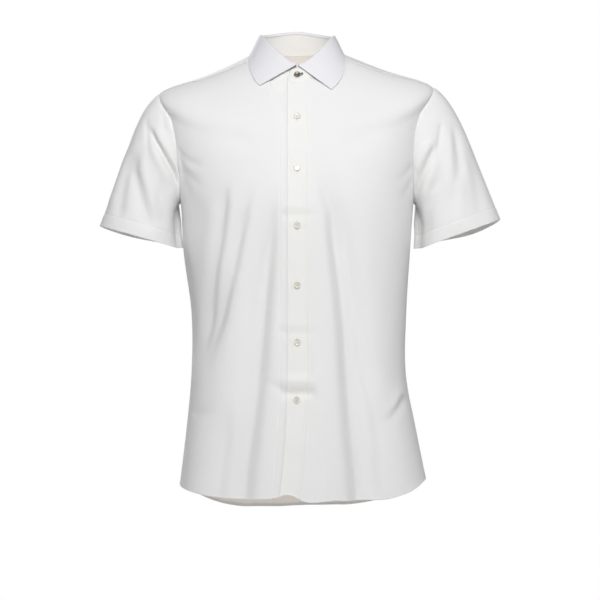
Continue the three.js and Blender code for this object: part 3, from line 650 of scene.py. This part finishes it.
r = join([
    [0, 0.012, 0.03, 0.06, 0.1, 0.2, 0.235, BACK_STITCH, 0.285, 0.32],
    np.linspace(0.4, SHOULDER_TOP, 34), np.linspace(SHOULDER_TOP, YOKE_FRONT, 18)[1:],
    np.linspace(YOKE_FRONT, YOKE_END + 0.06, 44)[1:],
])[:, None]
back_turn = mix(BACK_YOKE_TURN, 360, np.clip(r / SHOULDER_TOP, 0, 1))
front_turn = mix(0, FRONT_YOKE_ANGLE, np.clip((r - SHOULDER_TOP) / (YOKE_FRONT - SHOULDER_TOP), 0, 1))
arm_angle, arm_ring = armhole(1, np.where(r <= SHOULDER_TOP, back_turn, front_turn))
seam = np.clip((r - YOKE_FRONT) / (YOKE_END - YOKE_FRONT), 0, 1.012)
edge_angle = np.where(r <= YOKE_FRONT, arm_angle, mix(arm_angle, YOKE_AT_NECK, seam))
edge_ring = np.where(r <= YOKE_FRONT, arm_ring, mix(arm_ring, NECK, seam))
centre = mix(YOKE_SEAM, NECK, r / YOKE_END)
near = np.array([0, 0.0008, 0.0016, 0.0028, 0.004, FRONT_STITCH, 0.006, 0.008, 0.012, 0.02, 0.034])
f = join([near, np.linspace(0.05, 0.95, 130), 1 - near[::-1]])
from_seam = np.minimum(f, 1 - f)
angle = mix(edge_angle, 360 - edge_angle, f)
hold = np.abs((angle - 180) / (edge_angle - 180)) ** 2.2
ring = mix(centre, edge_ring, hold)
on_front = ease(6.6, YOKE_FRONT, r)
stitched = 0.3 * dome(r - BACK_STITCH, 0.025) + 0.3 * on_front * dome(from_seam - FRONT_STITCH, 0.001)
lap = 0.75 * (1 - ease(0, 0.6, r)) + 0.75 * on_front * (1 - ease(0.004, 0.03, from_seam))
turned = 0.5 * dome(r, 0.012) + 0.5 * on_front * dome(from_seam, 0.0012)
front_stitch = (from_seam - FRONT_STITCH) * YOKE_WIDTH + NO_STITCH * (1 - ease(6.9, YOKE_FRONT, r))
stitch = np.minimum(np.abs((r - BACK_STITCH) * YOKE_ROW), np.abs(front_stitch))
yoke = sew("yoke_cloth", lay(angle, ring, lap - stitched - turned), shirting, stitch)
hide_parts("yoke")
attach(yoke, "root")

# Sleeves: short and set in, each one piece of shirting closed under the arm, with a 23 mm hem turned up and
# topstitched. They stand open and hang outwards, creased where the cap drops from the shoulder.

SLEEVE_HEM = 23
UNDER_SLACK = 11
SLEEVES = {
    "right": dict(
        side=-1, tip=(335, -292), under=(204, -329), depth=51, back_drop=4,
        leave_top=(38, -17), leave_under=(15, -13), arrive_top=(45, -117), arrive_under=(-5, -26),
        folds=[
            ([(-250, -122), (-239, -150), (-224, -176), (-208, -203), (-190, -240)], 4.4, 5, -6.3, 0.25, 0.05),
            ([(-243, -118), (-230, -146), (-212, -176), (-192, -210)], 7, 8, 4, 0.3, 0.1),
            ([(-249, -150), (-236, -180), (-222, -206), (-214, -230)], 6, 8, 2.2, 0.3, 0.3),
            ([(-254, -106), (-252, -143), (-250, -178)], 4, 5, -2.6, 0.3, 0.5),
            ([(-272, -160), (-274, -203), (-265, -234), (-255, -266), (-246, -310)], 9, 12, -5, 0.3, 0.15),
            ([(-259, -160), (-259, -200), (-250, -240), (-236, -290)], 8, 12, 3.4, 0.3, 0.3),
            ([(-277, -160), (-289, -203), (-297, -249), (-302, -290)], 8, 10, -3.6, 0.35, 0.2),
            ([(-285, -150), (-303, -210), (-316, -270)], 8, 12, 2.4, 0.3, 0.2),
            ([(-228, -92), (-223, -128), (-214, -146)], 4, 6, -1.8, 0.3, 0.5),
            ([(-232, -190), (-230, -250), (-222, -300)], 7, 9, -2.6, 0.4, 0.3),
        ],
    ),
    "left": dict(
        side=1, tip=(344.5, -281), under=(208.5, -330), depth=52, back_drop=9,
        leave_top=(38, -11), leave_under=(15, -13), arrive_top=(50, -118), arrive_under=(-3, -26),
        folds=[
            ([(236, -148), (221, -183), (209, -208), (201, -234), (192, -262)], 5, 5.5, -5.5, 0.25, 0.05),
            ([(230, -140), (212, -174), (194, -208)], 7, 8, 3.6, 0.3, 0.2),
            ([(240, -176), (226, -206), (216, -234), (210, -258)], 6, 8, 2, 0.3, 0.3),
            ([(242, -112), (239, -150), (234, -190)], 4, 6, -3, 0.3, 0.4),
            ([(262, -118), (269, -158), (273, -192), (270, -232)], 6, 9, -3.4, 0.3, 0.4),
            ([(254, -124), (256, -165), (256, -210), (250, -262)], 7, 11, 3, 0.3, 0.3),
            ([(240, -206), (226, -236), (219, -270), (217, -320)], 7, 9, -3, 0.3, 0.2),
            ([(286, -150), (300, -205), (308, -262), (312, -310)], 9, 13, -2.8, 0.35, 0.15),
            ([(272, -200), (274, -250), (268, -315)], 9, 13, 2.4, 0.4, 0.15),
        ],
    ),
}
BACK_SLEEVE_FOLDS = [
    ([(238, -130), (228, -165), (214, -200)], 6, 8, -3.6, 0.25, 0.3),
    ([(258, -130), (262, -180), (252, -240), (246, -310)], 8, 12, -3.8, 0.3, 0.15),
    ([(282, -150), (296, -210), (300, -300)], 9, 12, 2.6, 0.35, 0.2),
    ([(226, -200), (222, -260), (220, -315)], 7, 9, -2.6, 0.3, 0.2),
]


def bezier(points, t):
    a, b, c, d = (p[None] for p in points)
    t = t[:, None, None] if t.ndim == 1 else t[..., None]
    return (1 - t) ** 3 * a + 3 * (1 - t) ** 2 * t * b + 3 * (1 - t) * t**2 * c + t**3 * d


# A loop of places, or of steps, round a sleeve, from the ones at its top and under the arm, and its depth.
def round_sleeve(side, turns, at_top, at_under, depth=7):
    top = (1 + np.cos(np.radians(turns))) / 2
    out, up = (mix(low, high, top) for low, high in zip(at_under, at_top))
    return np.stack([side * out, -depth * np.sin(np.radians(turns)), up], -1)


for name, cut in SLEEVES.items():
    side = cut["side"]
    turns = np.linspace(0, 360, 241)
    if side < 0:
        turns = turns[::-1]
    top = (1 + np.cos(np.radians(turns))) / 2
    sine = np.sin(np.radians(turns))
    head = body_point(*armhole(side, turns))
    leave = round_sleeve(side, turns, cut["leave_top"], cut["leave_under"])
    arrive = round_sleeve(side, turns, cut["arrive_top"], cut["arrive_under"])
    mouth = round_sleeve(side, turns, cut["tip"], cut["under"], cut["depth"])
    mouth[:, 2] -= cut["back_drop"] * np.clip(-sine, 0, 1) * ease(0.15, 0.8, top)
    course = (head, head + leave, mouth - arrive, mouth)
    t = np.linspace(-0.02, 1.06, 163)
    length = run_along(bezier(course, t), 0)
    full = np.array([np.interp(1, t, length[:, k]) for k in range(len(turns))])
    away, inward, hem_stitch = hem_path(SLEEVE_HEM, SLEEVE_HEM + 6, 3)
    body_rows = np.linspace(0, 1, 84)[:-1]
    reach = join([body_rows[:, None] * (full - away[-1]), full - away[::-1][:, None]])
    inset = join([np.zeros(len(body_rows)), inward[::-1]])
    t_rows = np.stack([np.interp(reach[:, k], length[:, k], t) for k in range(len(turns))], 1)
    slack_place = ease(172, 190, turns) * (1 - ease(212, 275, turns)) * ease(0.1, 0.58, t_rows)
    toward_body = np.array((-side, 0.12, 0.0)) * UNDER_SLACK * slack_place[..., None]
    base = bezier(course, t_rows) + toward_body
    around = bezier(course, np.clip(t_rows, 0, 1)) + toward_body
    normal = unit(np.cross(np.roll(around, -1, 1) - np.roll(around, 1, 1), np.gradient(around, axis=0)))
    normal[:, 0] = normal[:, -1] = unit(normal[:, 1] + normal[:, -2])
    outward = around - around[:, :-1].mean(1, keepdims=True)
    normal *= np.sign((normal * outward).sum(-1, keepdims=True))
    seam_dip = -0.9 * (1 - ease(0.0, 0.035, t_rows)) + 0.5 * dome(t_rows - 0.05, 0.03)
    x, z = base[..., 0], base[..., 2]
    before = base[..., 1] < 0
    folds = np.where(before, fold_rise(cut["folds"], x, z), fold_rise(BACK_SLEEVE_FOLDS, np.abs(x), z))
    calm = ease(0, 0.3, np.abs(sine))[None, :] * (1 - 0.45 * ease(0.85, 1, t_rows)) * ease(-0.02, 0.12, t_rows)
    under_seam = -0.5 * dome((turns - 180)[None, :], 1.2)
    waves = 0.75 * ease(0, 0.15, t_rows) * slack(base, seed=5 + side)
    pull = calm * folds + waves - inset[:, None] + seam_dip + under_seam
    pull[len(body_rows):] -= 0.35 * dome(hem_stitch[::-1], 1.2)[:, None]
    pull[:, 0] = pull[:, -1] = (pull[:, 1] + pull[:, -2]) / 2
    points = base + normal * pull[..., None]
    points[:, 0] = points[:, -1] = (points[:, 0] + points[:, -1]) / 2
    stitch = join([np.full(len(body_rows), NO_STITCH), hem_stitch[::-1]])[:, None]
    sleeve = sew(f"sleeve_{name}_cloth", points, shirting, stitch, closed=True)
    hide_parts(f"sleeve_{name}")
    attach(sleeve, "root")

# Collar: a stand round the neck, whose left end laps over its right end, and a spread leaf that rolls over it
# and falls on the shoulders. Both are two layers of shirting over a stiff interlining, topstitched all round.

STAND_TOP = dict(zip(RING_COLUMNS, (28, 26, 60.5, 60.5, 71, 47, 58, -12, 2, 1.5, 0, 0)))
STAND_OVERLAP, STAND_FOOT, STAND_UNDERLAP = 16, 1.2, 4.3
STAND_CORNER, STAND_END_SLOPE = 9, 0.25
STAND_HEIGHT, NECK_RADIUS = 29, 79
COLLAR_WALL = 1.3
ROLL_RISE, ROLL_RADIUS = 2.6, 1.9
LEAF_END = 1.2
LEAF_BULGE = 2.2
LEAF_CLEARANCE = 1.8
LEAF_STITCH = 5.2
LEAF_EDGE = {
    -1: ((32, 48, 66, 90, 135, 180), (9.36, 9.48, 9.64, 9.76, 9.78, 9.76)),
    1: ((26.2, 44, 66, 90, 135, 180), (9.27, 9.43, 9.66, 9.79, 9.79, 9.76)),
}
stand_start = float(angle_across(NECK, STAND_OVERLAP))
stand_end = -360 + float(angle_across(NECK, -STAND_OVERLAP))
collar_cloth = cotton("collar_cloth", (0.775, 0.77, 0.793), (0.735, 0.73, 0.757), rough=0.76)


def outward_at(angle):
    return np.stack([np.sin(np.radians(angle)), -np.cos(np.radians(angle)), np.zeros(np.shape(angle))], -1)


def stand_layer(angle):
    return -STAND_UNDERLAP * ease(-55, -20, angle)


def stand_point(angle, height):
    angle, height = np.broadcast_arrays(np.asarray(angle, float), np.asarray(height, float))
    sag = np.where(angle > -90, neck_sag(body_point(angle, NECK)[..., 0]), 0)
    foot = body_point(angle, NECK - sag) + np.array((0, 0, STAND_FOOT))
    top = point_on(STAND_TOP, angle)
    past = np.radians(np.maximum(np.maximum(angle, -360 - angle), 0)) * STAND_TOP["front"]
    middle_top = point_on(STAND_TOP, np.zeros(1))[0, 2]
    top[..., 2] = np.where(past > 0, middle_top - STAND_END_SLOPE * past, top[..., 2])
    from_end = np.radians(np.minimum(stand_start - angle, angle - stand_end)) * NECK_RADIUS
    corner = np.clip(1 - from_end / STAND_CORNER, 0, 1)
    top[..., 2] -= STAND_CORNER * (1 - np.sqrt(1 - corner**2))
    return mix(foot, top, height[..., None]) + outward_at(angle) * stand_layer(angle)[..., None]


def grid_normal(points):
    return unit(np.cross(np.gradient(points, axis=1), np.gradient(points, axis=0)))


angles = join([
    np.linspace(stand_end, stand_end + 8, 18), np.linspace(stand_end + 8, stand_start - 8, 190)[1:-1],
    np.linspace(stand_start - 8, stand_start, 18),
])
heights = np.array([-0.05, 0, 0.04, 0.1, 0.2, 0.32, 0.45, 0.58, 0.7, 0.8, 0.88, 0.93, 0.97, 1.0])[:, None]
above_stitch = heights - 0.06
points = stand_point(angles, heights)
swell = 0.5 * np.sin(np.pi * np.clip(heights, 0, 1)) - 0.25 * dome(above_stitch, 0.02)
swell = swell + 0.35 * (1 - ease(0.1, 0.3, heights))
points = points + grid_normal(points) * (swell + 0.25 * slack(points, seed=9))[..., None]
stitch = above_stitch * STAND_HEIGHT
stand = sew("collar_stand_cloth", points, (warm_band,), stitch, thickness=COLLAR_WALL)
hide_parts("collar_stand")
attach(stand, "root")

near_end = (0, 0.35, 0.9, 1.8, 2.8, 3.7, 4.3, 4.8, 5.1, 5.4, 5.9, 6.8, 8.4)
fronts = LEAF_END + join([near_end, np.linspace(10.5, 90, 52)])
spread = join([fronts, np.linspace(LEAF_END + 91.5, 180, 56)[:-1]])
angles = join([spread, 360 - spread[::-1]])
hand = np.where(angles < 180, 1, -1)
from_front = 180 - np.abs(angles - 180)
seam = stand_point(angles - 360, 1.0)
out_way, up_way = outward_at(angles), np.array((0.0, 0.0, 1.0))
radius = (ROLL_RADIUS - stand_layer(angles - 360) / 2)[:, None]
roll = seam + up_way * ROLL_RISE + out_way * radius
first = np.where(hand > 0, LEAF_EDGE[1][0][0], LEAF_EDGE[-1][0][0])
edge_angle = mix(first, 180, (from_front - LEAF_END) / (180 - LEAF_END))
edge_ring = np.empty(len(angles))
for way, (places, rings) in LEAF_EDGE.items():
    curve = np.polynomial.Polynomial.fit(places, rings, 4)
    edge_ring = np.where(hand == way, curve(edge_angle), edge_ring)
edge = body_point(hand * edge_angle, edge_ring) + body_normal(hand * edge_angle, edge_ring) * LEAF_CLEARANCE
rolled = [seam + up_way * 0.4]
for turn in np.radians(np.linspace(0, 150, 13)):
    rolled.append(roll + radius * (up_way * math.sin(turn) - out_way * math.cos(turn)))
fall = rolled[-1]
drop = np.linalg.norm(edge - fall, axis=-1)
from_edge = np.array([6.6, 5.9, 5.5, LEAF_STITCH, 4.9, 4.5, 4.0, 3.2, 2.2, 1.2, 0.5, 0.0])[:, None]
share = join([np.linspace(0, 1, 20)[1:, None] * (1 - 7.4 / drop), 1 - from_edge / drop])
bulge = LEAF_BULGE * mix(0.2, 1, ease(0, 24, from_front - LEAF_END)) * np.sin(np.pi * share)
fallen = mix(fall, edge, share[..., None]) + out_way * bulge[..., None]
points = join([rolled, fallen])
to_edge = join([np.full((len(rolled), len(angles)), NO_STITCH), (1 - share) * drop])
to_end = np.radians(from_front - LEAF_END) * NECK_RADIUS
along_edge = dome(to_edge - LEAF_STITCH, 0.5) * (to_end > 4.6)
along_end = dome(to_end - LEAF_STITCH, 0.45) * (to_edge > 4.6)
pull = 0.35 * slack(points, seed=12) * ease(0, 12, to_end) - 0.3 * np.maximum(along_edge, along_end)
pull -= 0.35 * dome(np.minimum(to_edge, to_end), 1.2)
points = points + grid_normal(points) * pull[..., None]
stitch = np.minimum(to_edge, to_end) - LEAF_STITCH
leaf = sew("collar_leaf_cloth", points, (collar_cloth,), stitch, thickness=COLLAR_WALL, flip=True)
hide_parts("collar_leaf")
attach(leaf, "root")

# Buttons: turned discs of pearl-like resin with a raised rim and four holes, each sewn on with two bars of
# white thread. The collar's is dark and mottled. The buttonholes are worked in thread round a slit.

BUTTON_RADIUS, BUTTON_THICKNESS = 5.5, 2.2
COLLAR_BUTTON_RADIUS = 5.0
BUTTON_HEIGHTS = (-115, -201, -295, -393, -487, -582)
RIM_WIDTH, RIM_HEIGHT, RIM_SLOPE = 1.15, 0.65, 0.5
HOLE_OFFSET, HOLE_RADIUS = 1.15, 0.62
THREAD_RADIUS = 0.34
BUTTON_SEAT, COLLAR_BUTTON_SEAT = 1.32, 1.75


# A finish whose colour goes from shade to shade with a noise through the piece.
def mottled(name, stops, **noise):
    material, tree, shader = shader_of(name)
    place = Strand(tree, tree.nodes.new("ShaderNodeTexCoord").outputs["Object"])
    pattern = place.node("ShaderNodeTexNoise", Vector=place, Roughness=0.6, **noise)
    pattern.node("ShaderNodeValToRGB", {"stops": stops}, n0=pattern).feed(shader, "Base Color")
    return material, shader, pattern


def resin(name, tone, shade, scale, low, high):
    stops = [(low, shade), (high, tone)]
    material, shader, marble = mottled(name, stops, Scale=scale, Detail=4.0, Distortion=1.2)
    (marble * 0.18 + 0.12).feed(shader, "Roughness")
    shader.inputs["Coat Weight"].default_value = 0.35
    shader.inputs["Coat Roughness"].default_value = 0.08
    return material


def plain_thread(name, tone):
    stops = [(0.3, tuple(0.78 * c for c in tone)), (0.7, tone)]
    material, shader, ply = mottled(name, stops, Scale=5200.0, Detail=2.0)
    shader.inputs["Roughness"].default_value = 0.7
    ply.node("ShaderNodeBump", Strength=0.6, Distance=0.0001, Height=ply).feed(shader, "Normal")
    return material


pale_resin = resin("pearl_resin", (0.80, 0.78, 0.71), (0.55, 0.52, 0.44), 260.0, 0.3, 0.62)
dark_resin = resin("dark_resin", (0.36, 0.28, 0.21), (0.02, 0.016, 0.015), 330.0, 0.44, 0.58)
white_thread = plain_thread("white_thread", (0.84, 0.83, 0.80))
black_thread = plain_thread("black_thread", (0.045, 0.042, 0.045))


def select(*pieces):
    bpy.ops.object.select_all(action="DESELECT")
    for piece in pieces:
        piece.select_set(True)
    bpy.context.view_layer.objects.active = pieces[0]


def turn_button(radius):
    bpy.ops.object.select_all(action="DESELECT")
    bpy.ops.mesh.primitive_cylinder_add(vertices=56, radius=radius * MM, depth=BUTTON_THICKNESS * MM)
    disc = bpy.context.object
    bpy.ops.object.mode_set(mode="EDIT")
    bpy.ops.mesh.select_all(action="DESELECT")
    bpy.ops.mesh.select_mode(type="FACE")
    shape = bmesh.from_edit_mesh(disc.data)
    for face in shape.faces:
        face.select_set(face.normal.z > 0.9)
    bmesh.update_edit_mesh(disc.data)
    bpy.ops.mesh.inset(thickness=RIM_WIDTH * MM)
    bpy.ops.mesh.inset(thickness=RIM_SLOPE * MM)
    bpy.ops.transform.translate(value=(0, 0, -RIM_HEIGHT * MM))
    bpy.ops.object.mode_set(mode="OBJECT")
    soften = disc.modifiers.new("soften", "BEVEL")
    soften.width = 0.38 * MM
    soften.segments = 3
    soften.angle_limit = math.radians(25)
    bpy.ops.object.modifier_apply(modifier="soften")
    hole_places = (-HOLE_OFFSET * MM, HOLE_OFFSET * MM)
    for place in [(x, y, 0) for x in hole_places for y in hole_places]:
        bpy.ops.object.select_all(action="DESELECT")
        bpy.ops.mesh.primitive_cylinder_add(vertices=18, radius=HOLE_RADIUS * MM, depth=6 * MM, location=place)
        drill = bpy.context.object
        bore = disc.modifiers.new("bore", "BOOLEAN")
        bore.operation = "DIFFERENCE"
        bore.object = drill
        bore.solver = "EXACT"
        select(disc)
        bpy.ops.object.modifier_apply(modifier="bore")
        bpy.data.objects.remove(drill)
    disc.data.transform(Matrix.Translation((0, 0, BUTTON_THICKNESS / 2 * MM)))
    return disc


def place_mesh(piece, origin, normal, spin=0.0):
    level = Vector((1, 0, 0))
    upward = Vector(normal).cross(level).normalized()
    level = upward.cross(Vector(normal)).normalized()
    turn = Matrix((level, upward, Vector(normal))).transposed().to_4x4() @ Matrix.Rotation(spin, 4, "Z")
    piece.data.transform(Matrix.Translation(Vector(origin) * MM) @ turn)


def thread_bars():
    bars = []
    for x in (-HOLE_OFFSET, HOLE_OFFSET):
        bpy.ops.object.select_all(action="DESELECT")
        bpy.ops.mesh.primitive_torus_add(
            major_radius=HOLE_OFFSET * MM, minor_radius=THREAD_RADIUS * MM,
            major_segments=28, minor_segments=10, location=(0, 0, 0), rotation=(0, math.pi / 2, 0),
        )
        bar = bpy.context.object
        bpy.ops.object.transform_apply(location=False, rotation=True, scale=False)
        bar.data.transform(Matrix.Translation((x * MM, 0, 1.25 * MM)))
        bars.append(bar)
    select(*bars)
    bpy.ops.object.join()
    bpy.ops.object.shade_smooth()
    return bars[0]


centre_rings = np.linspace(0, NECK, 2001)
centre_heights = body_point(0, centre_rings)[:, 2]


def ring_at_height(z):
    return np.interp(z, centre_heights, centre_rings)


def placket_seat(z):
    ring = np.array([ring_at_height(z)])
    angle = np.zeros(1)
    return lay(angle, ring, BUTTON_SEAT)[0], body_normal(angle, ring)[0]


seats = [placket_seat(z) for z in BUTTON_HEIGHTS]
stand_seat = stand_point(-360.0, 0.5)
stand_up = unit(stand_point(-360.0, 0.6) - stand_point(-360.0, 0.4))
stand_normal = np.cross((1, 0, 0), stand_up)
seats.append((stand_seat + stand_normal * COLLAR_BUTTON_SEAT, stand_normal))
TILTS = (0.05, -0.2, 0.35, 0.12, -0.1, 0.28, 0.1)

for k, (seat, normal) in enumerate(seats):
    on_collar = k == len(seats) - 1
    label = "collar" if on_collar else str(k + 1)
    disc = turn_button(COLLAR_BUTTON_RADIUS if on_collar else BUTTON_RADIUS)
    disc.name = disc.data.name = f"button_{label}_disc"
    place_mesh(disc, seat, normal, TILTS[k])
    select(disc)
    bpy.ops.object.shade_smooth_by_angle(angle=math.radians(35))
    disc.data.materials.append(dark_resin if on_collar else pale_resin)
    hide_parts(f"button_{label}")
    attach(disc, "root")
    bars = thread_bars()
    bars.name = bars.data.name = f"button_{label}_thread"
    place_mesh(bars, seat, normal, TILTS[k])
    bars.data.materials.append(black_thread if on_collar else white_thread)
    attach(bars, "root")


# A worked buttonhole: a low rounded bead of thread along the outline of a slit with round ends.
def bead(length, width, thick):
    straight = (length - width) / 2
    ends = np.linspace(-math.pi / 2, math.pi / 2, 13)
    right = np.stack([straight + width / 2 * np.cos(ends), width / 2 * np.sin(ends)], -1)
    corners = join([right, -right, right[:1]])
    course = [corners[0]]
    for a, b in zip(corners[:-1], corners[1:]):
        pieces = max(1, int(np.linalg.norm(b - a) / 0.7))
        course += [a + (b - a) * k / pieces for k in range(1, pieces + 1)]
    course = np.array(course)
    heading = unit(np.roll(course[:-1], -1, 0) - np.roll(course[:-1], 1, 0))
    heading = join([heading, heading[:1]])
    aside = np.stack([heading[:, 1], -heading[:, 0]], -1)
    sweep = np.linspace(0, math.pi, 8)
    across = course[None] + aside[None] * (np.cos(sweep) * thick / 2)[:, None, None]
    ridges = 1 + 0.25 * np.sin(np.arange(len(course)) * 2.4)
    return across, (np.sin(sweep)[:, None] * thick * 0.42) * ridges[None, :]


across, height = bead(15, 2.2, 1.1)
for k, z in enumerate(BUTTON_HEIGHTS):
    level = ring_at_height(z + across[..., 0])
    angle = angle_across(level, across[..., 1])
    hole = sew(f"buttonhole_{k + 1}", lay(angle, level, 0.95 + height), (white_thread,), thickness=0.2)
    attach(hole, "root")

STAND_END_RADIUS = 75
across, height = bead(17, 3.4, 1.9)
turned = -360 + np.degrees((across[..., 0] + 2.5) / STAND_END_RADIUS)
points = stand_point(turned, 0.5 + across[..., 1] / STAND_HEIGHT)
points = points + stand_normal * (0.75 + height)[..., None]
hole = sew("buttonhole_collar", points, (black_thread,), thickness=0.2)
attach(hole, "root")
